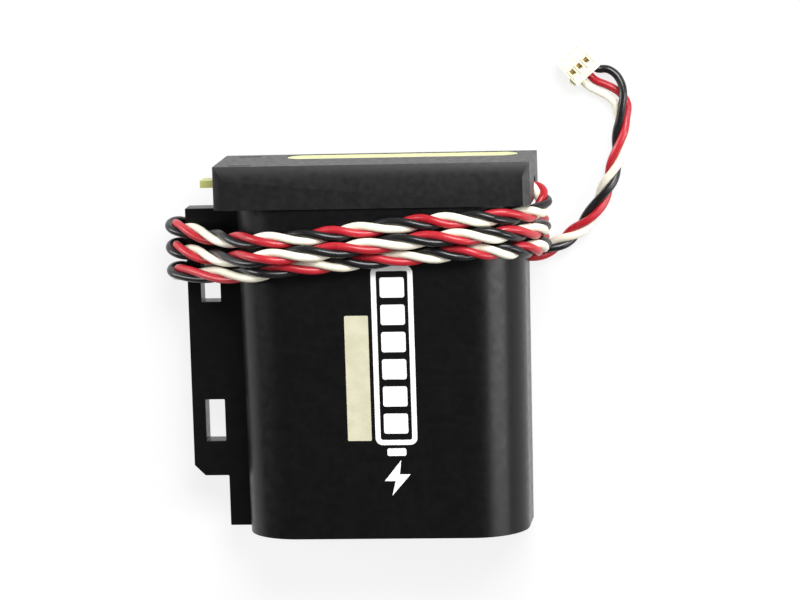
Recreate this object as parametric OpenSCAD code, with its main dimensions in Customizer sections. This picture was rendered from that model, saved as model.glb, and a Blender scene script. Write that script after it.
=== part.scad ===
// Backup power module of a disk controller: three cells in a moulded sleeve with a slotted
// mounting flange, an end cap over the circuit board, and a twisted three-wire lead that is
// wound three times round the body and ends in a three-way connector.
// It lies on its back. +Z is out of the front, +Y is towards the end cap, and the origin is
// the centre of the back face.

/* [Cells] */
// Diameter of a cell over its sleeve
cell_d = 18.4; // [16.4:0.2:20.4]
// Length of a cell from its base to its rolled rim
cell_l = 66; // [50:1:80]
// Gap between neighbouring cells
cell_gap = 1.2; // [0.8:0.1:2.4]
// Gap between an outer cell and the side wall
side_gap = 1.2; // [0.9:0.1:2.4]
// Clearance before and behind the cells
cell_fit = 0.2; // [0.1:0.05:0.4]
// Distance between the two pins of a cell
pin_pitch = 7.5; // [6:0.5:9]
// Diameter of a cell's pins
pin_d = 0.8; // [0.6:0.1:1]

/* [Housing] */
// Wall of the housing and of the end cap
wall = 1.8; // [1.4:0.1:2.2]
// Radius of the two long front edges
edge_r = 12; // [8:0.5:12]
// Draft of each side of the body, in degrees
draft = 0.6; // [0:0.1:1]
// Room between the cells and the housing's rim
lead_room = 5.4; // [4:0.2:9]
// Thickness of the foam pad at the closed end
pad_t = 0.8; // [0.5:0.1:1.5]
// Width of the ribs between the cells
rib_w = 1.2; // [0.8:0.1:2]
// Height of the ribs between the cells
rib_h = 3.6; // [2:0.2:4]

/* [Flange] */
// Thickness of the flange
flange_t = 5.8; // [4:0.2:8]
// Width of the plain strip beside the body
strip_w = 5.2; // [3:0.2:8]
// How far the slotted ear reaches past the strip
ear_w = 7.8; // [7:0.2:14]
// Length of the ear
ear_l = 61; // [56:1:70]
// Distance from the end cap's lower edge to the ear
ear_drop = 1.5; // [0.5:0.1:4]
// Chamfer at the ear's lower corner
ear_chamfer = 2.4; // [1:0.2:4]
// Width of a mounting slot
slot_w = 4.4; // [3:0.1:5]
// Length of a mounting slot
slot_l = 9.5; // [6:0.5:12]
// Distance between the middles of the two slots
slot_pitch = 31.8; // [24:0.2:36]
// Distance from the ear's upper end to the middle of the first slot
slot_drop = 16.5; // [12:0.5:20]
// Distance from a slot to the edge of the strip
slot_edge = 0.4; // [0.2:0.1:1]

/* [End cap] */
// Length of the end cap along the body
cap_l = 9.6; // [9:0.2:14]
// How far the cap stands out past the body on the flange side
cap_over_l = 3.9; // [3:0.1:5]
// How far the cap stands out past the body on the lead side
cap_over_r = 2.5; // [2.2:0.1:5]
// How far the cap's front stands out past the body's front
cap_over_f = 0.6; // [0.3:0.1:1.5]
// Height of the bevel on the cap's upper front edge
bevel_h = 3.0; // [1:0.1:4]
// Depth of the bevels on the cap's front edges
bevel_d = 1.2; // [0.5:0.1:1.5]
// Width of the bevel on the flange side
bevel_l = 2.5; // [1:0.1:4]
// Width of the bevel on the lead side
bevel_r = 1.5; // [1:0.1:3]
// Length of the recess for the label
label_l = 52; // [30:1:56]
// Width of the recess for the label
label_w = 8; // [5:0.2:10]
// Depth of the recess for the label
label_depth = 0.3; // [0.1:0.05:0.5]
// Clearance between the cap and what it slides over
cap_fit = 0.15; // [0.1:0.05:0.3]

/* [Circuit board] */
// Thickness of the board
board_t = 1.6; // [1:0.2:2]
// Height of the board over the carrier plate
board_rise = 2.3; // [2.1:0.1:3]
// Length of the board's tab outside the cap
tab_out = 4.1; // [2:0.1:6]
// Width of the board's tab
tab_w = 5.6; // [4:0.2:8]

/* [Lead] */
// Diameter of one insulated wire
wire_d = 1.8; // [1.4:0.1:1.8]
// Diameter of the three twisted wires together
bundle_d = 3.8; // [3.2:0.1:3.8]

/* [Connector] */
// Distance between neighbouring contacts
pitch = 2; // [1.8:0.1:2.5]
// Length of the connector's housing
conn_l = 6; // [5.4:0.2:8]
// Height of the connector's housing
conn_h = 4.8; // [4.2:0.1:5.4]
// Plastic outside the outer cavities
conn_side = 0.55; // [0.4:0.05:1]
// How far each rear ear stands out
conn_ear = 0.9; // [0.5:0.1:1.5]
// Width of a contact's cavity
cavity_w = 1.6; // [1.4:0.05:1.7]
// Height of a contact's cavity
cavity_h = 2; // [1.8:0.1:2.2]
// Clearance round a contact in its cavity
contact_fit = 0.1; // [0.05:0.05:0.15]

/* [Hidden] */
$fn = 64;
far = 200;       // longer than anything here, for cutting shapes
over = 1;        // how far a cutter runs past the face it cuts
seat = 0.1;      // gap where a piece is only held against another

// the body, worked out from the cells
n_cells = 3;
cell_r = cell_d / 2;
cell_step = cell_d + cell_gap;
body_w = n_cells * cell_d + (n_cells - 1) * cell_gap + 2 * (side_gap + wall);
body_t = cell_d + 2 * (cell_fit + wall);
body_l = wall + pad_t + cell_l + lead_room;
total_l = body_l + cap_l;
y_end = -total_l / 2;               // outside of the closed end
y_rim = y_end + body_l;             // rim of the sleeve, and lower edge of the cap
y_top = total_l / 2;                // the cap's end face
y_mid = (y_end + y_rim) / 2;
cell_z = body_t / 2;
cell_y = y_end + wall + pad_t;      // base of the cells
cell_top = cell_y + cell_l;
function cell_x(i) = (i - (n_cells + 1) / 2) * cell_step;

// the flange
strip_x = -body_w / 2 - strip_w;
ear_x = strip_x - ear_w;
ear_y1 = y_rim - ear_drop;
ear_y0 = ear_y1 - ear_l;
slot_x = strip_x - slot_edge - slot_w / 2;
slot_y = [ear_y1 - slot_drop, ear_y1 - slot_drop - slot_pitch];

// the end cap
cap_x0 = -body_w / 2 - cap_over_l;
cap_x1 = body_w / 2 + cap_over_r;
cap_t = body_t + cap_over_f;
cap_floor = y_top - wall;           // inside of the cap's end wall
label_end = 3.7;                    // from the label to the side that the lead leaves
label_x = cap_x1 - label_end - label_l / 2;
label_z = cap_t * 0.21;
mark_l = 5;                         // the two short grooves beside the label
mark_w = 0.9;
mark_depth = 0.8;
mark_x = cap_x0 + 3.3;
mark_z = [3.2, cap_t - 3.1];
notch_r = bundle_d / 2 + 0.25;      // where the lead leaves the cap
notch_y = y_rim + 2.8;
notch_z = 8.2;

// the board and its carrier
carrier_t = 1.8;
carrier_y = y_rim + carrier_t;      // upper face of the carrier plate
skirt_t = 1.2;
skirt_gap = 0.3;                    // between the skirt and the cells' rims
board_y = carrier_y + board_rise;   // underside of the board
board_top = board_y + board_t;
board_x0 = cap_x0 + wall + 0.7;
board_x1 = cap_x1 - wall - 6.5;
board_z0 = wall + 0.8;
board_z1 = cap_t - wall - 1;
tab_z = cap_t / 2 - 0.3;
tab_fit = 0.3;
post_r = 1;
post_x = [board_x0 + 1.8, board_x1 - 1.5];
post_z = [board_z0 + 1.2, board_z1 - 1.2];
pin_z = [cell_z - pin_pitch / 2, cell_z + pin_pitch / 2];
pin_tail = 0.8;                     // how far a pin stands out of the board
hole_fit = 0.15;
bung_depth = 0.6;                   // how far the cell's bung lies under its rim
bead_d = 3;                         // the thermistor
bead_l = 3;
leg_d = 0.5;
leg_pitch = 1.5;

// the connector, in its own frame: +X is the way it plugs in, Y is along the row
n_ways = 3;
conn_w = (n_ways - 1) * pitch + cavity_w + 2 * conn_side;
conn_turn = 131;
conn_tilt = 20;
table_z = -(bundle_d + 0.2);        // what the lead and the connector lie on
conn_at = [42.1, 63.1, table_z + conn_l * sin(conn_tilt) + conn_h / 2 * cos(conn_tilt)];
entry_h = 0.9;                      // size of the square hole for the mating pin
entry_l = 0.8;                      // thickness of the connector's nose wall
window_l = 1.5;
window_x = -2.1;
crimp_l = 1.9;

// ---------------------------------------------------------------- the lead's route
lead_r = bundle_d / 2;
wire_r = wire_d / 2;
lead_sides = 8;
// stations round the body, one turn after another: x, z, then y on turns 1, 2 and 3
stations = [
    [ 35.4,  4.7, 25.4, 25.3, 21.5],
    [ 35.2, 11.2, 29.5, 25.4, 21.6],
    [ 33.3, 17.3, 29.7, 25.7, 21.9],
    [ 28.6, 22.4, 29.8, 26.1, 22.3],
    [ 21.8, 24.5, 29.7, 26.2, 22.5],
    [  8.2, 24.5, 29.0, 25.4, 21.6],
    [ -5.9, 24.5, 27.3, 23.8, 20.5],
    [-19.4, 24.7, 25.9, 22.6, 19.4],
    [-25.7, 23.7, 25.6, 21.8, 18.4],
    [-31.1, 19.5, 25.2, 21.2, 17.5],
    [-38.8, 12.9, 25.4, 20.9, 16.6],
    [-44.6,  8.9, 26.5, 21.5, 16.5],
    [-47.4,  6.3, 26.6, 21.7, 16.4],
    [-47.6,  1.0, 26.5, 21.7, 16.3],
    [-45.7, -2.1, 26.4, 21.6, 16.2],
    [-38.5, -2.1, 26.3, 21.5, 16.1],
    [-20.0, -2.1, 26.1, 21.4, 16.2],
    [  0.0, -2.1, 25.9, 21.4, 16.5],
    [ 18.0, -2.1, 25.7, 21.4, 16.8],
    [ 32.7, -2.1, 25.6, 21.4, 17.4],
    [ 35.3,  0.3, 25.5, 21.5, 17.6],
];
// where the second turn rides on the first and the third: station, x and z
rides = [[3, 0.6, 0.9], [4, 0.2, 1.6], [5, 0, 1.6], [6, 0, 2], [7, -0.2, 2.2], [8, -0.8, 1.8], [9, -0.8, 0.7]];
first_station = 2;                  // the first turn starts here, from the cap
last_station = 18;                  // and the third ends here, under the body
exit_route = [[28, 35, 8.2], [31.5, 35, 8.2], [34.5, 34.2, 8.3], [36.4, 32, 9.3], [35.9, 30.1, 12.4]];
free_route = [
    [28, 17.4, -2.1], [34.5, 18.6, -2.1], [39.5, 21, -2.1], [43.8, 24.2, -2.1], [47.4, 28.8, -2.1],
    [50.2, 34.4, -2.1], [52.2, 40.4, -2.1], [53.1, 46, -2.1], [53.2, 49, -2.1],
];
// the single wires between the lead's end and the connector
black_route = [[53.6, 52, -0.7], [53.8, 55, -1], [52.4, 58.1, -1.6], [50, 59.6, -2]];
red_route = [[54.6, 51.6, -3], [52.6, 54.3, -3.1], [49.6, 56, -2.9], [47.5, 56.9, -2.4]];
white_route = [[52, 51.4, -2.6], [50.4, 53.2, -2.8], [47.8, 54.6, -2.7], [45.8, 55.8, -2.3]];
wire_ring = 1.2;                    // from the lead's middle to a wire's, at its two ends
core_l = 2.1;
core_d = 0.9;
stub_x = cell_x(n_cells) + pin_d / 2 + core_l + 1.4;    // where the insulation ends on the board
stub_y = board_y - wire_r - 0.05;
stub_z = [5.8, 8.2, 10.6];

function unit(v) = v / norm(v);
function ride(k, turn) = turn != 1 ? [0, 0] :
    let (r = [for (e = rides) if (e[0] == k) [e[1], e[2]]]) len(r) > 0 ? r[0] : [0, 0];
function station(k, turn) = let (s = stations[k], r = ride(k, turn))
    [s[0] + r[0], s[2 + turn], s[1] + r[1]];
function turn_route(turn) = [
    for (k = [turn == 0 ? first_station : 0 : turn == 2 ? last_station : len(stations) - 1])
        station(k, turn)
];
lead_route = concat(exit_route, turn_route(0), turn_route(1), turn_route(2), free_route);

function tangent(p, i) = unit(p[min(i + 1, len(p) - 1)] - p[max(i - 1, 0)]);
function square_to(v, t) = unit(v - (v * t) * t);
// a ring's normal: away from the body where the tube is wound round it, and upwards elsewhere
function ring_normal(t, wound) = wound ? unit(cross([0, 1, 0], t) - [0, 0, 0.05]) : square_to([0, 0, 1], t);

// a closed tube with its rings on the points of p, and a flat side towards each normal
module tube(p, r, wound = false, sides = lead_sides) {
    rings = [for (i = [0 : len(p) - 1]) for (s = [0 : sides - 1])
        let (a = 360 * (s + 0.5) / sides, t = tangent(p, i), n = square_to(ring_normal(t, wound), t))
        p[i] + r * (cos(a) * n + sin(a) * cross(t, n))];
    last = (len(p) - 1) * sides;
    polyhedron(rings, concat(
        [[for (s = [sides - 1 : -1 : 0]) s]],
        [[for (s = [0 : sides - 1]) last + s]],
        [for (i = [0 : len(p) - 2]) for (s = [0 : sides - 1])
            let (a = i * sides + s, b = i * sides + (s + 1) % sides)
            each [[a, b, b + sides], [a, b + sides, a + sides]]]
    ), convexity = 20);
}

// places a shape of the connector where it lies, nose up, at the end of the lead
module at_connector() {
    translate(conn_at) rotate([0, 0, conn_turn]) rotate([0, -conn_tilt, 0]) children();
}
function connector_point(x, y) = conn_at + [
    x * cos(conn_tilt) * cos(conn_turn) - y * sin(conn_turn),
    x * cos(conn_tilt) * sin(conn_turn) + y * cos(conn_turn),
    x * sin(conn_tilt),
];
function way_y(i) = (i - (n_ways + 1) / 2) * pitch;

// ---------------------------------------------------------------- shapes used again

// half of the body's section, out to its drafted side, run along the body
module drafted_side(inset) {
    hw = body_w / 2 - inset;
    t = body_t - inset;
    r = edge_r - inset;
    translate([hw, y_mid, 0]) rotate([0, 0, -draft]) rotate([90, 0, 0])
        linear_extrude(far, center = true) {
            translate([-far, -over]) square([far - r, t + over]);
            translate([-r - over, -over]) square([r + over, t - r + over]);
            translate([-r, t - r]) circle(r);
        }
}

// the body's section from y0 to y1, set in from its sides and front, and from its back
module body_solid(y0, y1, inset = 0, back = 0) {
    intersection() {
        drafted_side(inset);
        mirror([1, 0, 0]) drafted_side(inset);
        translate([-far / 2, y0, back]) cube([far, y1 - y0, far]);
    }
}

// an upright post or rib: from y0 to y1 at x, z
module post(x, z, y0, y1, r) {
    translate([x, y0, z]) rotate([-90, 0, 0]) cylinder(h = y1 - y0, r = r);
}

// ---------------------------------------------------------------- the pieces

// moulded sleeve: closed at one end, ribs between the cells, slotted flange along one side
module housing() color([0.05, 0.05, 0.055]) {
    difference() {
        union() {
            body_solid(y_end, y_rim);
            flange();
        }
        difference() {
            body_solid(y_end + wall, y_rim + over, wall, wall);
            cell_ribs();
        }
    }
}

module flange() {
    inner = -body_w / 2 + edge_r / 2;
    difference() {
        linear_extrude(flange_t) polygon([
            [inner, y_end], [strip_x, y_end], [strip_x, ear_y0], [ear_x + ear_chamfer, ear_y0],
            [ear_x, ear_y0 + ear_chamfer], [ear_x, ear_y1], [inner, ear_y1],
        ]);
        for (y = slot_y) translate([slot_x - slot_w / 2, y - slot_l / 2, -over])
            cube([slot_w, slot_l, flange_t + 2 * over]);
    }
}

// ribs on the front and back walls, between the cells
module cell_ribs(gap = 0) {
    for (i = [1 : n_cells - 1]) for (z = [-gap, body_t - wall - rib_h - gap])
        translate([(cell_x(i) + cell_x(i + 1)) / 2 - rib_w / 2 - gap, y_end, z])
            cube([rib_w + 2 * gap, cell_top - y_end, wall + rib_h + 2 * gap]);
}

// snap-on cover of the board end, with bevelled front edges
module end_cap() color([0.06, 0.06, 0.065]) {
    difference() {
        cap_block();
        translate([cap_x0 + wall, y_rim - over, wall])
            cube([cap_x1 - cap_x0 - 2 * wall, cap_floor - y_rim + over, cap_t - 2 * wall]);
        label_recess();
        for (z = mark_z) translate([mark_x, y_top - mark_depth, z - mark_w / 2])
            cube([mark_l, mark_depth + over, mark_w]);
        tab_slot();
        lead_notch();
    }
    for (x = post_x) for (z = post_z) post(x, z, board_top + seat, cap_floor + seat, post_r);
}

module cap_block() {
    intersection() {
        translate([cap_x1, 0, 0]) rotate([0, -90, 0]) linear_extrude(cap_x1 - cap_x0) polygon([
            [0, y_rim], [cap_t, y_rim], [cap_t, y_top - bevel_h], [cap_t - bevel_d, y_top], [0, y_top],
        ]);
        translate([0, y_top, 0]) rotate([90, 0, 0]) linear_extrude(cap_l) polygon([
            [cap_x0, 0], [cap_x1, 0], [cap_x1, cap_t - bevel_d], [cap_x1 - bevel_r, cap_t],
            [cap_x0 + bevel_l, cap_t], [cap_x0, cap_t - bevel_d],
        ]);
    }
}

module label_recess() {
    half = (label_l - label_w) / 2;
    translate([label_x, y_top - label_depth, label_z]) rotate([-90, 0, 0])
        linear_extrude(label_depth + over) {
            square([2 * half, label_w], center = true);
            for (side = [-1, 1]) translate([side * half, 0]) circle(label_w / 2);
        }
}

// open downwards, so that the cap passes over the board's tab
module tab_slot() {
    translate([cap_x0 - over, y_rim - over, tab_z - tab_w / 2 - tab_fit])
        cube([wall + 2 * over, board_top + tab_fit - y_rim + over, tab_w + 2 * tab_fit]);
}

// open downwards, so that the cap passes over the lead
module lead_notch() {
    translate([cap_x1 - wall - over, 0, 0]) {
        translate([0, notch_y, notch_z]) rotate([0, 90, 0]) cylinder(h = wall + 2 * over, r = notch_r);
        translate([0, y_rim - over, notch_z - notch_r])
            cube([wall + 2 * over, notch_y - y_rim + over, 2 * notch_r]);
    }
}

// plate on the sleeve's rim, with a skirt down to the cells and posts under the board
module board_carrier() color([0.16, 0.16, 0.17]) {
    x0 = cap_x0 + wall + cap_fit;
    x1 = cap_x1 - wall - cap_fit;
    difference() {
        union() {
            translate([x0, y_rim, wall + cap_fit])
                cube([x1 - x0, carrier_t, cap_t - 2 * (wall + cap_fit)]);
            body_solid(cell_top + skirt_gap, y_rim + over, wall + cap_fit, wall + cap_fit);
        }
        body_solid(y_end, y_rim, wall + cap_fit + skirt_t, wall + cap_fit + skirt_t);
        for (i = [1 : n_cells]) carrier_window(cell_x(i));
        translate([board_x1 - 1.6, y_rim - over, notch_z - notch_r])
            cube([far, carrier_t + 2 * over, 2 * notch_r]);
    }
    for (x = post_x) for (z = post_z) post(x, z, carrier_y - seat, board_y, post_r);
}

// lets a cell's pins through to the board
module carrier_window(x) {
    w = cell_d / 3;
    h = pin_pitch + 5;
    translate([x - w / 2, y_rim - over, cell_z - h / 2]) cube([w, carrier_t + 2 * over, h]);
}

// foam sheet that the cells stand on, notched round the ribs
module end_pad() color([0.30, 0.30, 0.32]) difference() {
    body_solid(y_end + wall, y_end + wall + pad_t, wall + 4 * seat, wall + 4 * seat);
    cell_ribs(2 * seat);
}

// sealed can in a sleeve: rounded base, rolled groove under the rim, bung set into the mouth
module cell(i) color([0.10, 0.16, 0.32]) {
    base_r = 1;
    groove_r = 0.7;
    groove_y = cell_l - 4;
    translate([cell_x(i), cell_y, cell_z]) rotate([-90, 0, 0]) difference() {
        rotate_extrude($fn = 96) {
            square([cell_r - base_r, cell_l]);
            translate([0, base_r]) square([cell_r, cell_l - base_r]);
            translate([cell_r - base_r, base_r]) circle(base_r, $fn = 32);
        }
        translate([0, 0, groove_y]) rotate_extrude($fn = 96)
            translate([cell_r + groove_r / 3, 0]) circle(groove_r, $fn = 32);
        translate([0, 0, cell_l - bung_depth]) cylinder(h = bung_depth + over, r = cell_r - 1);
    }
}

module cell_pins(i) color([0.80, 0.80, 0.78])
    for (z = pin_z) post(cell_x(i), z, cell_top - bung_depth, board_top + pin_tail, pin_d / 2);

module circuit_board() color([0.10, 0.36, 0.20]) {
    difference() {
        union() {
            translate([board_x0, board_y, board_z0])
                cube([board_x1 - board_x0, board_t, board_z1 - board_z0]);
            translate([cap_x0 - tab_out, board_y, tab_z - tab_w / 2])
                cube([board_x0 - cap_x0 + tab_out + over, board_t, tab_w]);
        }
        for (i = [1 : n_cells]) for (z = pin_z)
            post(cell_x(i), z, board_y - over, board_top + over, pin_d / 2 + hole_fit);
        for (side = [-1, 1])
            post(cell_x(2), cell_z + side * leg_pitch / 2, board_y - over, board_top + over,
                leg_d / 2 + hole_fit);
    }
}

// a small outline package: body, and four legs on each side down to the board
module memory_chip() color([0.09, 0.09, 0.10]) {
    l = 4.9;
    w = 3.9;
    h = 1.4;
    leg_l = 1;
    leg_w = 0.4;
    leg_step = 1.27;
    translate([(cell_x(2) + cell_x(3)) / 2, board_top, cell_z]) {
        translate([-l / 2, 0.15, -w / 2]) cube([l, h, w]);
        for (k = [0 : 3]) for (side = [-1, 1])
            translate([(k - 1.5) * leg_step - leg_w / 2, 0, side > 0 ? w / 2 - leg_w : -w / 2 - leg_l])
                cube([leg_w, leg_w, leg_l + leg_w]);
    }
}

// resettable fuse: a flat block with a metal cap wrapped round each end
module fuse() color([0.70, 0.66, 0.30]) {
    l = 4.6;
    w = 3.2;
    h = 1;
    tip = 0.8;
    skin = 0.1;
    translate([(cell_x(1) + cell_x(2)) / 2, board_top, cell_z]) {
        translate([-l / 2 + skin, skin, -w / 2 + skin]) cube([l - 2 * skin, h - 2 * skin, w - 2 * skin]);
        for (x = [-l / 2, l / 2 - tip]) translate([x, 0, -w / 2]) cube([tip, h, w]);
    }
}

// one chip resistor across each cell
module balance_resistors() color([0.12, 0.12, 0.14]) {
    l = 3.2;
    w = 1.6;
    h = 0.6;
    for (i = [1 : n_cells]) translate([cell_x(i) + 3.2, board_top, cell_z - l / 2]) cube([w, h, l]);
}

// glass bead on the middle cell's bung, on two wires from the board
module thermistor() color([0.15, 0.12, 0.10]) {
    y0 = cell_top - bung_depth;
    post(cell_x(2), cell_z, y0, y0 + bead_l, bead_d / 2);
    for (side = [-1, 1])
        post(cell_x(2), cell_z + side * leg_pitch / 2, y0 + bead_l - seat, board_top + pin_tail, leg_d / 2);
}

// fillets of solder round the cells' pins, and over the lead's three cores
module solder_joints() color([0.75, 0.76, 0.78]) {
    foot = 0.6;
    for (i = [1 : n_cells]) for (z = pin_z)
        translate([cell_x(i), board_top, z]) rotate([-90, 0, 0]) rotate_extrude()
            polygon([[pin_d / 2, 0], [pin_d / 2 + foot, 0], [pin_d / 2, pin_tail * 0.8]]);
    for (z = stub_z) translate([stub_x - core_l - 0.7, stub_y - wire_r + core_d / 2, z - core_d / 2])
        cube([0.7, board_y - stub_y + wire_r - core_d / 2, core_d]);
}

// the wires' ends inside the cap: from the lead's cut end to the board, the middle one rising last
module stub(way, side) {
    start = exit_route[0];
    a = 180 - 120 * side;
    from = start + wire_ring * [0, cos(a), sin(a)];
    goal = [stub_x, stub_y, stub_z[way]];
    tube([from, from + [-0.6, 0, 0], goal + [side == 0 ? 1.4 : 2.4, 0, 0], goal + [0.8, 0, 0], goal], wire_r);
}
module black_stub() color([0.04, 0.04, 0.04]) stub(2, 1);
module red_stub() color([0.70, 0.12, 0.14]) stub(1, 0);
module white_stub() color([0.90, 0.88, 0.80]) stub(0, -1);

module lead_cores() color([0.80, 0.45, 0.25])
    for (z = stub_z) translate([stub_x - core_l, board_y - core_d / 2 - seat / 2, z])
        rotate([0, 90, 0]) cylinder(h = core_l, r = core_d / 2);

module twisted_lead() color([0.70, 0.50, 0.48]) tube(lead_route, lead_r, wound = true);

// a single wire from the lead's end to its cavity in the connector
module tail(route, way, side) {
    n = len(lead_route) - 1;
    t = tangent(lead_route, n);
    across = unit(cross(t, [0, 0, 1]));
    a = 90 + 120 * side;
    from = lead_route[n] + wire_ring * (cos(a) * across + sin(a) * [0, 0, 1]);
    goal = connector_point(-conn_l, way_y(way));
    ahead = connector_point(-conn_l - 1.2, way_y(way));
    tube(concat([from, from + 0.9 * t], route, [ahead, goal]), wire_r);
}
module black_tail() color([0.04, 0.04, 0.04]) tail(black_route, 1, 0);
module red_tail() color([0.70, 0.12, 0.14]) tail(red_route, 2, -1);
module white_tail() color([0.90, 0.88, 0.80]) tail(white_route, 3, 1);

// nylon housing: square holes in the nose, a window over each contact, an ear at each rear corner
module connector_housing() color([0.93, 0.92, 0.84]) at_connector() {
    rear_l = conn_l * 0.42;
    difference() {
        union() {
            translate([-conn_l, -conn_w / 2, -conn_h / 2]) cube([conn_l, conn_w, conn_h]);
            translate([0, 0, -conn_h / 2]) linear_extrude(conn_h * 0.8) polygon([
                [-conn_l, -conn_w / 2 - conn_ear], [-conn_l + rear_l * 0.6, -conn_w / 2 - conn_ear],
                [-conn_l + rear_l, -conn_w / 2], [-conn_l + rear_l, conn_w / 2],
                [-conn_l + rear_l * 0.6, conn_w / 2 + conn_ear], [-conn_l, conn_w / 2 + conn_ear],
            ]);
        }
        for (i = [1 : n_ways]) translate([0, way_y(i), 0]) way_cut();
    }
}

module way_cut() {
    translate([-conn_l - over, -cavity_w / 2, -cavity_h / 2])
        cube([conn_l - entry_l + over, cavity_w, cavity_h]);
    translate([-entry_l - over, -entry_h / 2, -entry_h / 2]) cube([entry_l + 2 * over, entry_h, entry_h]);
    translate([window_x - window_l, -entry_h / 2 - 0.1, 0]) cube([window_l, entry_h + 0.2, conn_h]);
    // the latch over each cavity is set off by a shallow groove on either side
    for (side = [-1, 1]) translate([-conn_l * 0.75, side * pitch / 2 - 0.1, conn_h / 2 - 0.3])
        cube([conn_l * 0.45, 0.2, conn_h]);
}

// crimped socket contact: box round the mating pin, barrel round the wire
module contact(i) color([0.85, 0.68, 0.32]) at_connector() translate([0, way_y(i), 0]) {
    w = cavity_w - 2 * contact_fit;
    h = cavity_h - 2 * contact_fit;
    box_x = -conn_l + crimp_l;
    difference() {
        union() {
            translate([box_x, -w / 2, -h / 2]) cube([-entry_l - contact_fit - box_x, w, h]);
            translate([-conn_l, 0, 0]) rotate([0, 90, 0]) cylinder(h = crimp_l + over, r = w / 2, $fn = 32);
        }
        translate([box_x + over, -entry_h / 2, -entry_h / 2]) cube([conn_l, entry_h, entry_h]);
    }
}

housing();
end_cap();
board_carrier();
end_pad();
cell(1);  // cell_1
cell(2);  // cell_2
cell(3);  // cell_3
cell_pins(1);  // cell_1_pins
cell_pins(2);  // cell_2_pins
cell_pins(3);  // cell_3_pins
circuit_board();
memory_chip();
fuse();
balance_resistors();
thermistor();
solder_joints();
black_stub();
red_stub();
white_stub();
lead_cores();
twisted_lead();
black_tail();
red_tail();
white_tail();
connector_housing();
contact(1);  // contact_1
contact(2);  // contact_2
contact(3);  // contact_3
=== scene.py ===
# %% [markdown]
# # Backup power module
# A pack of three cells for a disk controller card: a black moulded sleeve with a slotted
# flange, an end cap over its circuit board, and a twisted three-wire lead that is wound
# round the body and ends in a small ivory connector.
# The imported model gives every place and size. It is loaded first, and it is never changed.

import math

import bpy
import numpy as np
from mathutils import Matrix, Vector


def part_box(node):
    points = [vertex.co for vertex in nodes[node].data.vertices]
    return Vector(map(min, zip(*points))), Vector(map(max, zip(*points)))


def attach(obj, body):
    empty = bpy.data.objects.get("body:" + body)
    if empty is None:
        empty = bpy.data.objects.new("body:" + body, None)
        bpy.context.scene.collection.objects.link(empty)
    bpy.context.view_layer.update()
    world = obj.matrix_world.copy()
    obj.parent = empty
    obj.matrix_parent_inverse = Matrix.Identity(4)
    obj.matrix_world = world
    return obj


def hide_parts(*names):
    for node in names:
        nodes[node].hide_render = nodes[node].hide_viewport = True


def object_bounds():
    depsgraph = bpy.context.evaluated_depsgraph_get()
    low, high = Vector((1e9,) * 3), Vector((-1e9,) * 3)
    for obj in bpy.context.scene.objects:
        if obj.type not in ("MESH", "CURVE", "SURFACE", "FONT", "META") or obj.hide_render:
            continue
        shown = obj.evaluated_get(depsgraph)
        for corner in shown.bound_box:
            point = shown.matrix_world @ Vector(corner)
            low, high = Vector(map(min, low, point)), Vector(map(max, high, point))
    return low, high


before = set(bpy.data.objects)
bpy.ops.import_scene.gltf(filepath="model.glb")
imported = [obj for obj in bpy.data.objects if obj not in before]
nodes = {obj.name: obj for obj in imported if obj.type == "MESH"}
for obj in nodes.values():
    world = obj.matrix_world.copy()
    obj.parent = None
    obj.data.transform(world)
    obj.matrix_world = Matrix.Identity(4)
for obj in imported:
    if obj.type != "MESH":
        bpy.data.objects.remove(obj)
cad_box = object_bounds()
MM = 0.001
scene = bpy.context.scene
bpy.ops.object.select_all(action="DESELECT")
print("CAD box in mm:", [round((hi - lo) / MM, 1) for lo, hi in zip(*cad_box)])

# %% [markdown]
# ## Camera
# The module lies on its back and is seen from above, a little from its cap end and from
# the side that the lead leaves. A long lens from most of a metre away keeps the sides
# almost parallel, as a product shot of so small a thing has them.

# %% Camera
LENS = 187.476                              # mm, on a sensor 36 mm wide
CAMERA_AT = (109.091, 147.903, 921.899)     # mm
PAN, TIP, ROLL = -6.59552748, 8.54890819, 1.80457876    # degrees, about Y, X and Z

scene.view_settings.view_transform = "Standard"
bpy.ops.object.camera_add()
camera = bpy.context.object
camera.name = "camera"
camera.data.sensor_width = 36
camera.data.lens = LENS
camera.data.clip_start = 0.05
pan, tip, roll = (math.radians(angle) for angle in (PAN, TIP, ROLL))
turned = Matrix.Rotation(roll, 3, "Z") @ Matrix.Rotation(tip, 3, "X") @ Matrix.Rotation(pan, 3, "Y")
camera.matrix_world = (
    Matrix.Translation(Vector(CAMERA_AT) * MM) @ turned.transposed().to_4x4()
)
scene.camera = camera

# %% [markdown]
# ## The lead's route
# Three insulated wires are twisted together and wound three times round the body.
# A winding that touches a body all the way is not a free fall, so a simulation would only
# add noise: its middle line is a smooth curve through points chosen round the section.
# The points are the same ones that the solid model uses, in millimetres.

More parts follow.
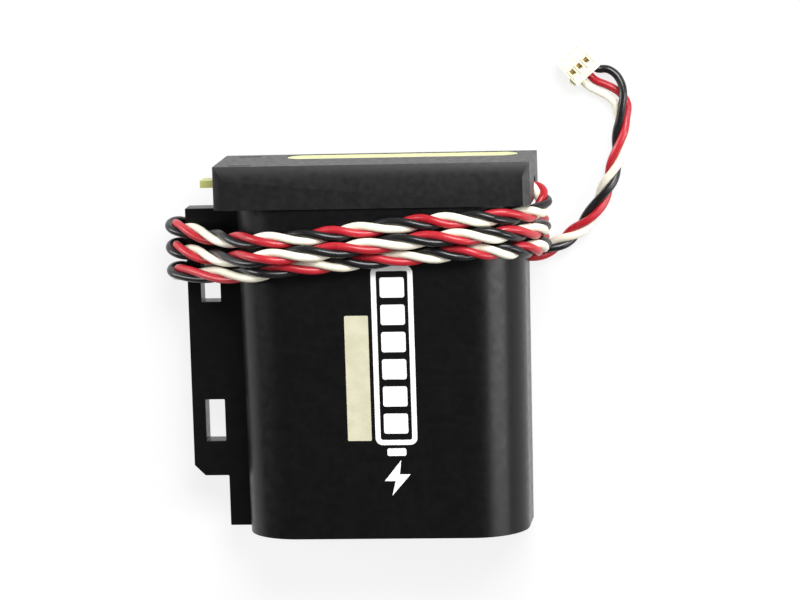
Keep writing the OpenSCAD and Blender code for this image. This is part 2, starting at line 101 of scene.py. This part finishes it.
# %% Route points
# x and z of each station round the body, then its y on the first, second and third turn
STATIONS = [
    (35.4, 4.7, 25.4, 25.3, 21.5), (35.2, 11.2, 29.5, 25.4, 21.6), (33.3, 17.3, 29.7, 25.7, 21.9),
    (28.6, 22.4, 29.8, 26.1, 22.3), (21.8, 24.5, 29.7, 26.2, 22.5), (8.2, 24.5, 29.0, 25.4, 21.6),
    (-5.9, 24.5, 27.3, 23.8, 20.5), (-19.4, 24.7, 25.9, 22.6, 19.4), (-25.7, 23.7, 25.6, 21.8, 18.4),
    (-31.1, 19.5, 25.2, 21.2, 17.5), (-38.8, 12.9, 25.4, 20.9, 16.6), (-44.6, 8.9, 26.5, 21.5, 16.5),
    (-47.4, 6.3, 26.6, 21.7, 16.4), (-47.6, 1.0, 26.5, 21.7, 16.3), (-45.7, -2.1, 26.4, 21.6, 16.2),
    (-38.5, -2.1, 26.3, 21.5, 16.1), (-20.0, -2.1, 26.1, 21.4, 16.2), (0.0, -2.1, 25.9, 21.4, 16.5),
    (18.0, -2.1, 25.7, 21.4, 16.8), (32.7, -2.1, 25.6, 21.4, 17.4), (35.3, 0.3, 25.5, 21.5, 17.6),
]
# where the second turn rides up on its neighbours: station, then how far in x and in z
RIDES = {3: (0.6, 0.9), 4: (0.2, 1.6), 5: (0, 1.6), 6: (0, 2), 7: (-0.2, 2.2), 8: (-0.8, 1.8), 9: (-0.8, 0.7)}
EXIT = [(28, 35, 8.2), (31.5, 35, 8.2), (34.5, 34.2, 8.3), (36.4, 32, 9.3), (35.9, 30.1, 12.4)]
FREE_END = [
    (28, 17.4, -2.1), (34.5, 18.6, -2.1), (39.5, 21, -2.1), (43.8, 24.2, -2.1), (47.4, 28.8, -2.1),
    (50.2, 34.4, -2.1), (52.2, 40.4, -2.1), (53.1, 46, -2.1), (53.2, 49, -2.1),
]


def turn_points(turn, first, last):
    """The stations of one turn, from the first to the last, as points."""
    found = []
    for k in range(first, last + 1):
        x, z = STATIONS[k][:2]
        dx, dz = RIDES.get(k, (0, 0)) if turn == 1 else (0, 0)
        found.append((x + dx, STATIONS[k][2 + turn], z + dz))
    return found


turns = [turn_points(0, 2, 20), turn_points(1, 0, 20), turn_points(2, 0, 18)]
route = EXIT + turns[0] + turns[1] + turns[2] + FREE_END
print("route points:", len(route))

# %% [markdown]
# ## Smoothing a route
# A centripetal Catmull-Rom spline passes through each point without loops. It is
# resampled at even steps, so that the twist can be laid on it by its length.

# %% Smooth line through points
def smooth_line(points, step, soften=0):
    """Points about step apart on a smooth curve through the given ones."""
    p = np.array(points, float)
    p = np.vstack([2 * p[0] - p[1], p, 2 * p[-1] - p[-2]])
    out = []
    for a, b, c, d in zip(p, p[1:], p[2:], p[3:]):
        ta = 0.0
        tb = ta + math.sqrt(np.linalg.norm(b - a))
        tc = tb + math.sqrt(np.linalg.norm(c - b))
        td = tc + math.sqrt(np.linalg.norm(d - c))
        t = np.linspace(tb, tc, 16, endpoint=False)[:, None]
        ab = (tb - t) / (tb - ta) * a + (t - ta) / (tb - ta) * b
        bc = (tc - t) / (tc - tb) * b + (t - tb) / (tc - tb) * c
        cd = (td - t) / (td - tc) * c + (t - tc) / (td - tc) * d
        abc = (tc - t) / (tc - ta) * ab + (t - ta) / (tc - ta) * bc
        bcd = (td - t) / (td - tb) * bc + (t - tb) / (td - tb) * cd
        out.append((tc - t) / (tc - tb) * abc + (t - tb) / (tc - tb) * bcd)
    line = np.vstack(out + [p[-2:-1]])
    line = even_steps(line, step)
    for _ in range(soften):
        line[1:-1] = (line[:-2] + 2 * line[1:-1] + line[2:]) / 4
    return line


def lengths_along(line):
    """The length of the line from its start to each of its points."""
    return np.concatenate([[0], np.cumsum(np.linalg.norm(np.diff(line, axis=0), axis=1))])


def even_steps(line, step):
    """The same line with its points at even steps."""
    along = lengths_along(line)
    places = np.linspace(0, along[-1], max(2, int(round(along[-1] / step)) + 1))
    return np.stack([np.interp(places, along, line[:, k]) for k in range(3)], axis=1)


lead_line = smooth_line(route, 0.5, soften=6)
lead_along = lengths_along(lead_line)
print("length of the lead's middle line in mm:", round(lead_along[-1], 1))

# %% [markdown]
# ## Laying the twist
# Each wire is a helix round the lead's middle line. On a real winding the lay changes a
# little as the lead goes round corners, so the twist is set at marked places and runs
# evenly between them. A twist of a whole number brings the black wire outermost.

# %% Twist at marked places
# for each turn: how many whole twists came before it, then x on the front, twist there
MARKS = [
    (1, [(31.5, 0.667), (26.1, 1.0), (20.6, 1.333), (14.0, 1.667), (9.2, 2.0), (1.4, 2.333),
         (-5.4, 2.667), (-11.2, 3.0), (-18.0, 3.333), (-24.8, 3.667), (-31.8, 4.0), (-36.9, 4.333),
         (-42.6, 4.667), (-47.4, 5.0)]),
    (11, [(35.3, 0.333), (32.4, 0.667), (23.1, 1.333), (16.8, 1.667), (3.3, 2.333), (-3.8, 2.667),
          (-17.9, 3.333), (-24.0, 3.667), (-31.9, 4.0), (-37.5, 4.333), (-43.3, 4.667), (-47.4, 5.0)]),
    (21, [(35.3, 0.333), (33.6, 0.667), (26.8, 1.333), (21.7, 1.667), (9.8, 2.333), (2.3, 2.667),
          (-4.7, 3.0), (-10.5, 3.333), (-17.8, 3.667), (-25.1, 4.0), (-31.1, 4.333), (-38.6, 4.667),
          (-47.4, 5.0)]),
]
# on the free end: x, y, twist, where a whole number and a half brings the black wire on top
FREE_MARKS = [
    (37.3, 19.1, 30.5), (41.2, 22.2, 30.833), (44.8, 25.8, 31.167), (48.8, 31.8, 31.5),
    (51.1, 36.2, 31.833), (52.9, 44.8, 32.28),
]
START_TWIST, END_TWIST = 5 / 12, 32.5


def nearest(points, target):
    return int(np.argmin(np.linalg.norm(points - np.array(target), axis=1)))


def twist_along():
    """The twist at each point of the lead's middle line, in whole twists."""
    places, twists = [0.0], [START_TWIST]
    for turn, (before, marks) in enumerate(MARKS):
        first = nearest(lead_line, turns[turn][0])
        last = nearest(lead_line, turn_points(turn, 13, 13)[0])
        run = lead_line[first:last + 1]
        for x, twist in marks:
            k = first + int(np.argmin(np.abs(run[:, 0] - x)))
            places.append(lead_along[k])
            twists.append(before + twist)
    for x, y, twist in FREE_MARKS:
        places.append(lead_along[nearest(lead_line, (x, y, -2.1))])
        twists.append(twist)
    places.append(lead_along[-1])
    twists.append(END_TWIST)
    order = np.argsort(places)
    twist = np.interp(lead_along, np.array(places)[order], np.array(twists)[order])
    window = np.hanning(17)
    padded = np.pad(twist, 8, mode="reflect", reflect_type="odd")
    return np.convolve(padded, window / window.sum(), mode="valid")


twist = twist_along()
twists = twist[-1] - twist[0]
print("twists:", round(twists, 2), "mean lay in mm:", round(lead_along[-1] / twists, 1))

# %% [markdown]
# The wires turn about the middle line in a frame of its own. One side of it points away
# from the body wherever the lead is wound round it, so the marks above can be set.

# %% Frame that the twist turns in
tangent = np.gradient(lead_line, axis=0)
tangent /= np.linalg.norm(tangent, axis=1)[:, None]
outward = np.cross([0, 1, 0], tangent) - [0, 0, 0.05]
outward -= np.sum(outward * tangent, axis=1)[:, None] * tangent
outward /= np.linalg.norm(outward, axis=1)[:, None]
sideways = np.cross(tangent, outward)

# %% [markdown]
# ## The wires' two ends
# Inside the cap each wire runs down to the board, and at the far end the three open out
# and enter the rear of the connector side by side, the black one passing over the red.

# %% Ends of each wire
WIRE_D = 1.8
RING = WIRE_D / math.sqrt(3)
STUB_X, STUB_Y, STUB_Z = 23.5, 35.35, (5.8, 8.2, 10.6)
CONNECTOR_AT = np.array((42.1, 63.1, 0.307))
CONNECTOR_TURN, CONNECTOR_TILT = math.radians(131), math.radians(20)
CONNECTOR_L, PITCH = 6, 2
# colour: angle on the lead in degrees, way on the board, how far the stub runs straight,
# way in the connector, route between the lead's end and the connector
WIRES = {
    "black": (0, 2, 2.4, 1, [(53.6, 52, -0.7), (53.8, 55, -1), (52.4, 58.1, -1.6), (50, 59.6, -2)]),
    "red": (120, 1, 1.4, 2, [(54.6, 51.6, -3), (52.6, 54.3, -3.1), (49.6, 56, -2.9), (47.5, 56.9, -2.4)]),
    "white": (240, 0, 2.4, 3, [(52, 51.4, -2.6), (50.4, 53.2, -2.8), (47.8, 54.6, -2.7), (45.8, 55.8, -2.3)]),
}


def connector_point(x, y, z=0.0):
    """A point given in the connector's own frame, in millimetres."""
    ct, st = math.cos(CONNECTOR_TURN), math.sin(CONNECTOR_TURN)
    cu, su = math.cos(CONNECTOR_TILT), math.sin(CONNECTOR_TILT)
    along, up = x * cu - z * su, x * su + z * cu
    return CONNECTOR_AT + np.array((along * ct - y * st, along * st + y * ct, up))


def wire_points(colour):
    """The middle line of one wire from the board to the connector."""
    angle, board_way, swell, way, tail = WIRES[colour]
    phase = 2 * math.pi * twist + math.radians(angle)
    helix = lead_line + RING * (outward * np.cos(phase)[:, None] + sideways * np.sin(phase)[:, None])
    goal = np.array((STUB_X, STUB_Y, STUB_Z[board_way]))
    stub = [goal, goal + [0.8, 0, 0], goal + [swell, 0, 0]]
    row = (way - 2) * PITCH
    ends = [connector_point(-CONNECTOR_L - 1.2, row), connector_point(-CONNECTOR_L, row)]
    return smooth_line(stub + list(helix[::3]) + tail + ends, 0.7, soften=2)


# %% [markdown]
# ## Tubes for the wires
# A curve with a bevel would do, but a mesh tube keeps even rings through the tight turns.
# Its rings are carried along the line without turning, so that no facet twists.

# %% Mesh tube along a line
def tube(name, line, radius, sides=16):
    """A closed tube with its rings on the points of a line in millimetres."""
    t = np.gradient(line, axis=0)
    t /= np.linalg.norm(t, axis=1)[:, None]
    normal = np.cross(t[0], [0.3, 0.5, 0.8])
    angles = np.arange(sides) * 2 * math.pi / sides
    rings = []
    for p, d in zip(line, t):
        normal = normal - np.dot(normal, d) * d
        normal /= np.linalg.norm(normal)
        other = np.cross(d, normal)
        rings.append(p + radius * (np.cos(angles)[:, None] * normal + np.sin(angles)[:, None] * other))
    verts = np.vstack(rings) * MM
    faces = []
    for i in range(len(line) - 1):
        for s in range(sides):
            a, b = i * sides + s, i * sides + (s + 1) % sides
            faces.append((a, b, b + sides, a + sides))
    faces.append(tuple(range(sides - 1, -1, -1)))
    faces.append(tuple(range((len(line) - 1) * sides, len(line) * sides)))
    mesh = bpy.data.meshes.new(name)
    mesh.from_pydata(verts.tolist(), [], faces)
    mesh.shade_smooth()
    piece = bpy.data.objects.new(name, mesh)
    scene.collection.objects.link(piece)
    return piece


wire_lines = {colour: wire_points(colour) for colour in WIRES}
wires = {colour: tube(colour + "_wire", line, WIRE_D / 2) for colour, line in wire_lines.items()}
for colour, line in wire_lines.items():
    print(colour, "wire, mm:", round(lengths_along(line)[-1], 1))

# %% [markdown]
# ## Helpers for selecting and finishing
# An operator acts on all that is selected, so each step starts from nothing selected.

# %% Selecting
def only(piece):
    """Makes one piece the selected and active one."""
    bpy.ops.object.select_all(action="DESELECT")
    piece.select_set(True)
    bpy.context.view_layer.objects.active = piece


def edit(piece):
    only(piece)
    bpy.ops.object.mode_set(mode="EDIT")


def done():
    bpy.ops.object.mode_set(mode="OBJECT")


def apply_modifiers(piece):
    only(piece)
    for modifier in list(piece.modifiers):
        bpy.ops.object.modifier_apply(modifier=modifier.name)


def settle(piece):
    """Moves a piece's place into its mesh."""
    only(piece)
    bpy.ops.object.transform_apply(location=True, rotation=True, scale=True)


# %% [markdown]
# ## Moulded pieces
# A real moulding has no knife edges: each corner is broken by a small radius, which
# catches the light. The solid model has its edges sharp, so each moulded piece is a copy
# of its solid with its triangles merged, its flat faces joined and its edges bevelled.
# Weighted normals keep the large faces flat up to those bevels. The connector is the solid
# itself: its radii are too small to see.

# %% Bevelled copy of a solid
def moulded(node, name, radius, segments=2, angle=28):
    """A copy of a CAD node with its sharp edges rounded. The node itself is hidden."""
    piece = bpy.data.objects.new(name, nodes[node].data.copy())
    scene.collection.objects.link(piece)
    edit(piece)
    bpy.ops.mesh.select_all(action="SELECT")
    bpy.ops.mesh.customdata_custom_splitnormals_clear()
    bpy.ops.mesh.remove_doubles(threshold=0.002 * MM)
    bpy.ops.mesh.dissolve_limited(angle_limit=math.radians(0.3))
    done()
    bevel = piece.modifiers.new("edge radius", "BEVEL")
    bevel.width = radius * MM
    bevel.segments = segments
    bevel.limit_method = "ANGLE"
    bevel.angle_limit = math.radians(angle)
    bevel.miter_outer = "MITER_ARC"
    apply_modifiers(piece)
    bpy.ops.object.shade_smooth_by_angle(angle=math.radians(40))
    weighted = piece.modifiers.new("flat faces", "WEIGHTED_NORMAL")
    weighted.keep_sharp = True
    apply_modifiers(piece)
    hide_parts(node)
    print(name, "faces:", len(piece.data.polygons))
    return piece


sleeve = moulded("housing", "sleeve", 0.35)
cap = moulded("end_cap", "cap", 0.25)
connector = nodes["connector_housing"]    # its grooves are too narrow to bevel

# %% [markdown]
# ## Label strip on the end cap
# The cap's end face has a long recess with round ends. A printed strip fills it, bare of
# words here. A plane is given its round ends by bevelling its four corners, and then its
# thickness by an extrusion, as a label is cut and laid in.

# %% Thin flat plate
def plate(name, size, corner, thickness, segments=10):
    """A flat plate on the XY plane with rounded corners, its top at z = 0."""
    bpy.ops.object.select_all(action="DESELECT")
    bpy.ops.mesh.primitive_plane_add(size=1)
    piece = bpy.context.object
    piece.name = name
    piece.scale = (size[0] * MM, size[1] * MM, 1)
    settle(piece)
    edit(piece)
    bpy.ops.mesh.select_all(action="SELECT")
    if corner:
        bpy.ops.mesh.bevel(offset=corner * MM, offset_type="OFFSET", segments=segments, affect="VERTICES")
    bpy.ops.mesh.select_all(action="SELECT")
    bpy.ops.mesh.extrude_region_move(TRANSFORM_OT_translate={"value": (0, 0, -thickness * MM)})
    bpy.ops.mesh.select_all(action="SELECT")
    bpy.ops.mesh.normals_make_consistent(inside=False)
    done()
    return piece


CAP_HIGH = np.array(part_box("end_cap")[1]) / MM
LABEL_L, LABEL_W = 52, 8            # the recess
LABEL_END, LABEL_HEIGHT = 3.7, 0.21    # from the lead's side in mm, and up the cap as a share
LABEL_PLAY = 0.4                    # how much smaller the strip is than its recess
label_l, label_w = LABEL_L - LABEL_PLAY, LABEL_W - LABEL_PLAY
label_middle = (CAP_HIGH[0] - LABEL_END - LABEL_L / 2, CAP_HIGH[1] - 0.1, CAP_HIGH[2] * LABEL_HEIGHT)
label = plate("label_strip", (label_l, label_w), label_w / 2 - 0.01, 0.2)
label.rotation_euler = (-math.pi / 2, 0, 0)
label.location = Vector(label_middle) * MM
settle(label)

# %% [markdown]
# ## Plate and print on the front
# The front carries a small bare plate and a white print down its middle. The print is a
# plain sign for stored charge: the outline of a cell filled with bars, and a bolt.
# Each shape is a thin film of ink, so it is a plate a few hundredths of a millimetre thick.

# %% Front plate
FRONT_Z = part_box("housing")[1].z / MM
front_plate = plate("front_plate", (5.3, 28), 0.25, 0.1, 3)
front_plate.location = Vector((-4.8, -5.6, FRONT_Z + 0.06)) * MM
settle(front_plate)

# %% Charge sign in white ink
PRINT_X, PRINT_Z = 3.35, FRONT_Z + 0.02
INK = 0.04                # thickness of the film


def ink(name, size, corner, x, y):
    film = plate(name, size, corner, INK, 5)
    film.location = Vector((x, y, PRINT_Z)) * MM
    settle(film)
    return film


def frame_outline(name, size, corner, stroke, x, y):
    """A rounded frame: a plate's face is inset and the inside taken away."""
    bpy.ops.object.select_all(action="DESELECT")
    bpy.ops.mesh.primitive_plane_add(size=1)
    piece = bpy.context.object
    piece.name = name
    piece.scale = (size[0] * MM, size[1] * MM, 1)
    settle(piece)
    edit(piece)
    bpy.ops.mesh.select_all(action="SELECT")
    bpy.ops.mesh.bevel(offset=corner * MM, offset_type="OFFSET", segments=6, affect="VERTICES")
    bpy.ops.mesh.select_all(action="SELECT")
    bpy.ops.mesh.inset(thickness=stroke * MM, depth=0)
    bpy.ops.mesh.delete(type="ONLY_FACE")
    bpy.ops.mesh.select_all(action="SELECT")
    bpy.ops.mesh.extrude_region_move(TRANSFORM_OT_translate={"value": (0, 0, -INK * MM)})
    bpy.ops.mesh.select_all(action="SELECT")
    bpy.ops.mesh.normals_make_consistent(inside=False)
    done()
    piece.location = Vector((x, y, PRINT_Z)) * MM
    settle(piece)
    return piece


films = [frame_outline("ink_frame", (9.3, 40), 1.6, 1.15, PRINT_X, -0.6)]
BARS, BAR_STEP, FIRST_BAR = 6, 6.08, 14.6
for k in range(BARS):
    films.append(ink("ink_bar", (5.4, 4.5), 0.5, PRINT_X, FIRST_BAR - BAR_STEP * k))
films.append(ink("ink_foot", (4.2, 1.7), 0.4, PRINT_X, -22.2))

# %% Bolt below the outline
def flat_shape(name, outline):
    """A thin film with a given outline, its top on the print's plane."""
    mesh = bpy.data.meshes.new(name)
    mesh.from_pydata([(x * MM, y * MM, PRINT_Z * MM) for x, y in outline], [], [tuple(range(len(outline)))])
    piece = bpy.data.objects.new(name, mesh)
    scene.collection.objects.link(piece)
    edit(piece)
    bpy.ops.mesh.select_all(action="SELECT")
    bpy.ops.mesh.extrude_region_move(TRANSFORM_OT_translate={"value": (0, 0, -INK * MM)})
    bpy.ops.mesh.select_all(action="SELECT")
    bpy.ops.mesh.normals_make_consistent(inside=False)
    done()
    return piece


BOLT_Y = -28
bolt = [(0.9, 4.0), (-2.9, -0.7), (-0.5, -0.7), (-1.3, -4.0), (2.9, 0.8), (0.5, 0.8)]
films.append(flat_shape("ink_bolt", [(PRINT_X + x, BOLT_Y + y) for x, y in bolt]))
only(films[0])
for film in films[1:]:
    film.select_set(True)
bpy.ops.object.join()
front_print = films[0]
front_print.name = "front_print"

# %% [markdown]
# ## Finishes
# Each finish is procedural and reads Object coordinates, so it stays on the piece.
# One helper makes a shader with a mottled colour, a roughness that varies and a fine
# bump. What makes the finishes differ is the scale and the amount of each.

# %% Helper for finishes
def rgb(r, g, b):
    """A display colour from 0 to 255, as the linear colour that a shader takes."""
    shares = (c / 255 for c in (r, g, b))
    return tuple(((c + 0.055) / 1.055) ** 2.4 if c > 10.3 / 255 else c / 12.92 for c in shares) + (1,)


def finish(name, colour, second, mottle, rough, grain, bump, specular=0.5, metallic=0.0):
    """colour and second mix by a noise of mottle per mm; rough is (low, high);
    the bump has grain per mm and stands bump mm high."""
    material = bpy.data.materials.new(name)
    material.use_nodes = True
    tree = material.node_tree
    shader = tree.nodes["Principled BSDF"]
    shader.inputs["Metallic"].default_value = metallic
    shader.inputs["Specular IOR Level"].default_value = specular
    coords = tree.nodes.new("ShaderNodeTexCoord")

    def noise(per_mm, detail):
        node = tree.nodes.new("ShaderNodeTexNoise")
        node.inputs["Scale"].default_value = per_mm / MM
        node.inputs["Detail"].default_value = detail
        tree.links.new(coords.outputs["Object"], node.inputs["Vector"])
        return node

    patch = noise(mottle, 3)
    mix = tree.nodes.new("ShaderNodeMix")
    mix.data_type = "RGBA"
    mix.inputs["A"].default_value = colour
    mix.inputs["B"].default_value = second
    spread = tree.nodes.new("ShaderNodeMapRange")
    spread.inputs["From Min"].default_value = 0.35
    spread.inputs["From Max"].default_value = 0.65
    tree.links.new(patch.outputs["Fac"], spread.inputs["Value"])
    tree.links.new(spread.outputs["Result"], mix.inputs["Factor"])
    tree.links.new(mix.outputs["Result"], shader.inputs["Base Color"])
    smear = tree.nodes.new("ShaderNodeMapRange")
    smear.inputs["From Min"].default_value = 0.3
    smear.inputs["From Max"].default_value = 0.7
    smear.inputs["To Min"].default_value = rough[0]
    smear.inputs["To Max"].default_value = rough[1]
    tree.links.new(noise(mottle * 2.3, 4).outputs["Fac"], smear.inputs["Value"])
    tree.links.new(smear.outputs["Result"], shader.inputs["Roughness"])
    if bump:
        relief = tree.nodes.new("ShaderNodeBump")
        relief.inputs["Distance"].default_value = bump * MM
        relief.inputs["Strength"].default_value = 1
        tree.links.new(noise(grain, 3).outputs["Fac"], relief.inputs["Height"])
        tree.links.new(relief.outputs["Normal"], shader.inputs["Normal"])
    return material


def dress(piece, *materials):
    piece.data.materials.clear()
    for material in materials:
        piece.data.materials.append(material)


# %% [markdown]
# ## Black moulded plastic
# The sleeve and cap are satin black polycarbonate with the fine texture of a spark-eroded
# mould. It is nearly black, so what shows is its soft gloss at the rounded edges.

# %% Body finishes
sleeve_black = finish("sleeve_black", rgb(9, 9, 10), rgb(13, 12, 13), 0.25, (0.28, 0.38), 3.2, 0.004, 0.25)
cap_black = finish("cap_black", rgb(18, 18, 19), rgb(24, 23, 25), 0.3, (0.34, 0.46), 4.0, 0.006, 0.35)
dress(sleeve, sleeve_black)
dress(cap, cap_black)

# %% [markdown]
# ## Wires and connector
# The insulation is glossier than the mouldings, with a slow unevenness along it from the
# extrusion. The connector is natural nylon, which lets a little light into its edges.

# %% Wire finishes
wire_finish = {
    "black": finish("wire_black", rgb(20, 19, 20), rgb(28, 27, 29), 0.2, (0.22, 0.34), 0.9, 0.02, 0.5),
    "red": finish("wire_red", rgb(166, 26, 38), rgb(184, 42, 52), 0.15, (0.25, 0.38), 0.9, 0.02, 0.5),
    "white": finish("wire_white", rgb(236, 231, 214), rgb(226, 219, 198), 0.15, (0.28, 0.4), 0.9, 0.02, 0.5),
}
for colour, piece in wires.items():
    dress(piece, wire_finish[colour])

# %% Connector and its contacts
nylon = finish("natural_nylon", rgb(240, 238, 218), rgb(232, 230, 206), 0.5, (0.38, 0.5), 2.5, 0.01, 0.5)
nylon_inputs = nylon.node_tree.nodes["Principled BSDF"].inputs
nylon_inputs["Subsurface Weight"].default_value = 0.25
nylon_inputs["Subsurface Scale"].default_value = 1.2 * MM
nylon_inputs["Subsurface Radius"].default_value = (1.0, 0.9, 0.6)
dress(connector, nylon)
plated = finish(
    "plated_contact", rgb(214, 184, 118), rgb(196, 160, 92), 1.2, (0.22, 0.36), 3, 0.004, metallic=1.0,
)

# %% [markdown]
# ## Printed pieces and what lies inside
# Paper and ink are flat and dull. The pieces inside are seen only through the tab's slot
# and the lead's notch, but each has the finish of what it is made of.

# %% Label, plate and ink
paper = finish("label_paper", rgb(214, 217, 160), rgb(202, 206, 146), 0.4, (0.4, 0.5), 2, 0.003)
cream = finish("plate_cream", rgb(198, 195, 170), rgb(188, 184, 158), 0.3, (0.42, 0.55), 2, 0.003)
white_ink = finish("white_ink", rgb(240, 240, 238), rgb(228, 228, 226), 0.5, (0.45, 0.6), 3, 0.003)
dress(label, paper)
dress(front_plate, cream)
dress(front_print, white_ink)

# %% Inner pieces
carrier_black = finish("carrier_black", rgb(46, 46, 48), rgb(52, 52, 54), 0.3, (0.45, 0.55), 3, 0.006)
foam = finish("grey_foam", rgb(76, 76, 78), rgb(92, 92, 94), 2, (0.8, 0.95), 5, 0.05)
cell_wrap = finish("cell_wrap", rgb(34, 66, 128), rgb(42, 78, 142), 0.2, (0.22, 0.32), 1, 0.004)
tinned = finish("tinned", rgb(206, 206, 204), rgb(188, 188, 188), 1.5, (0.25, 0.4), 4, 0.004, metallic=1.0)
laminate = finish("laminate", rgb(176, 184, 104), rgb(198, 190, 132), 0.35, (0.3, 0.42), 2.2, 0.01)
chip_black = finish("chip_black", rgb(40, 40, 42), rgb(48, 48, 50), 1, (0.5, 0.6), 6, 0.006)
fuse_green = finish("fuse_green", rgb(74, 120, 76), rgb(86, 132, 84), 1, (0.4, 0.5), 4, 0.004)
bead_black = finish("bead_black", rgb(52, 44, 40), rgb(60, 52, 46), 1, (0.15, 0.25), 2, 0.004)
copper = finish("copper", rgb(218, 150, 112), rgb(196, 128, 92), 1.5, (0.25, 0.4), 5, 0.01, metallic=1.0)
carried_over = {
    "board_carrier": carrier_black, "end_pad": foam, "cell_1": cell_wrap, "cell_2": cell_wrap,
    "cell_3": cell_wrap, "cell_1_pins": tinned, "cell_2_pins": tinned, "cell_3_pins": tinned,
    "circuit_board": laminate, "memory_chip": chip_black, "fuse": fuse_green,
    "balance_resistors": chip_black, "thermistor": bead_black, "solder_joints": tinned,
    "lead_cores": copper, "contact_1": plated, "contact_2": plated, "contact_3": plated,
}
for node, material in carried_over.items():
    dress(nodes[node], material)
print("finishes:", len(bpy.data.materials))

# %% [markdown]
# ## Riding with the body
# New pieces ride with the body. The solid model's lead, stubs and tails are hidden,
# where the wires now run.

# %% Riding, and the lead's nodes hidden
for piece, slot in (
    (sleeve, "housing"), (cap, "end_cap"), (label, None),
    (front_plate, None), (front_print, None), (wires["black"], "wire_black"),
    (wires["red"], "wire_red"), (wires["white"], "wire_white"),
):
    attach(piece, "root")
for colour, piece in wires.items():
    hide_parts("twisted_lead", colour + "_stub", colour + "_tail")
    line = wire_lines[colour] * MM

# %% [markdown]
# ## Floor and light
# A white floor with a faint shadow, and large soft lamps. The floor is seen at full white,
# and by reflections too, but it throws only its own plain white back on the object.

# %% Floor
FLOOR_Z = cad_box[0].z / MM - 0.1
GLOW_SHARE = 0.82         # how much of the floor's white is its own, where it is seen
bpy.ops.object.select_all(action="DESELECT")
bpy.ops.mesh.primitive_plane_add(size=6, location=(0, 0, FLOOR_Z * MM))
floor = bpy.context.object
floor.name = "floor"
floor_white = bpy.data.materials.new("floor_white")
floor_white.use_nodes = True
tree = floor_white.node_tree
tree.nodes.clear()
out = tree.nodes.new("ShaderNodeOutputMaterial")
diffuse = tree.nodes.new("ShaderNodeBsdfDiffuse")
diffuse.inputs["Color"].default_value = (0.8, 0.8, 0.8, 1)
glow = tree.nodes.new("ShaderNodeEmission")
glow.inputs["Color"].default_value = (1, 1, 1, 1)
glow.inputs["Strength"].default_value = 1
rays = tree.nodes.new("ShaderNodeLightPath")


def math_node(operation, first, second=None):
    node = tree.nodes.new("ShaderNodeMath")
    node.operation = operation
    tree.links.new(first, node.inputs[0])
    if second:
        tree.links.new(second, node.inputs[1])
    return node


seen = math_node("MAXIMUM", rays.outputs["Is Camera Ray"], rays.outputs["Is Glossy Ray"])
seen_all = math_node("MAXIMUM", seen.outputs["Value"], rays.outputs["Is Transmission Ray"])
share = math_node("MULTIPLY", seen_all.outputs["Value"])
share.inputs[1].default_value = GLOW_SHARE
mixed = tree.nodes.new("ShaderNodeMixShader")
tree.links.new(share.outputs["Value"], mixed.inputs["Fac"])
tree.links.new(diffuse.outputs["BSDF"], mixed.inputs[1])
tree.links.new(glow.outputs["Emission"], mixed.inputs[2])
tree.links.new(mixed.outputs["Shader"], out.inputs["Surface"])
dress(floor, floor_white)

# %% [markdown]
# The body is nearly black, so the lamps are kept out of the direction in which its front
# would mirror them, and the world gives only a little light. The key comes from the cap's
# side, and the two others draw soft lines down the rounded edges.

# %% World and lamps
world = bpy.data.worlds.new("studio")
scene.world = world
world.use_nodes = True
world.node_tree.nodes["Background"].inputs["Color"].default_value = (1, 1, 1, 1)
world.node_tree.nodes["Background"].inputs["Strength"].default_value = 0.12


def softbox(name, place, towards, size, power):
    bpy.ops.object.light_add(type="AREA", location=place)
    lamp = bpy.context.object
    lamp.name = name
    lamp.data.shape = "RECTANGLE"
    lamp.data.size, lamp.data.size_y = size
    lamp.data.energy = power
    lamp.rotation_euler = (Vector(towards) - Vector(place)).to_track_quat("-Z", "Y").to_euler()
    return lamp


MIDDLE = (0, 0, 0.01)
softbox("lamp_cap_side", (0.25, 0.6, 0.7), MIDDLE, (0.6, 0.4), 12)
softbox("lamp_left", (-0.85, 0.25, 0.3), MIDDLE, (0.4, 0.6), 6)
softbox("lamp_right", (0.75, -0.05, 0.45), MIDDLE, (0.35, 0.6), 5)
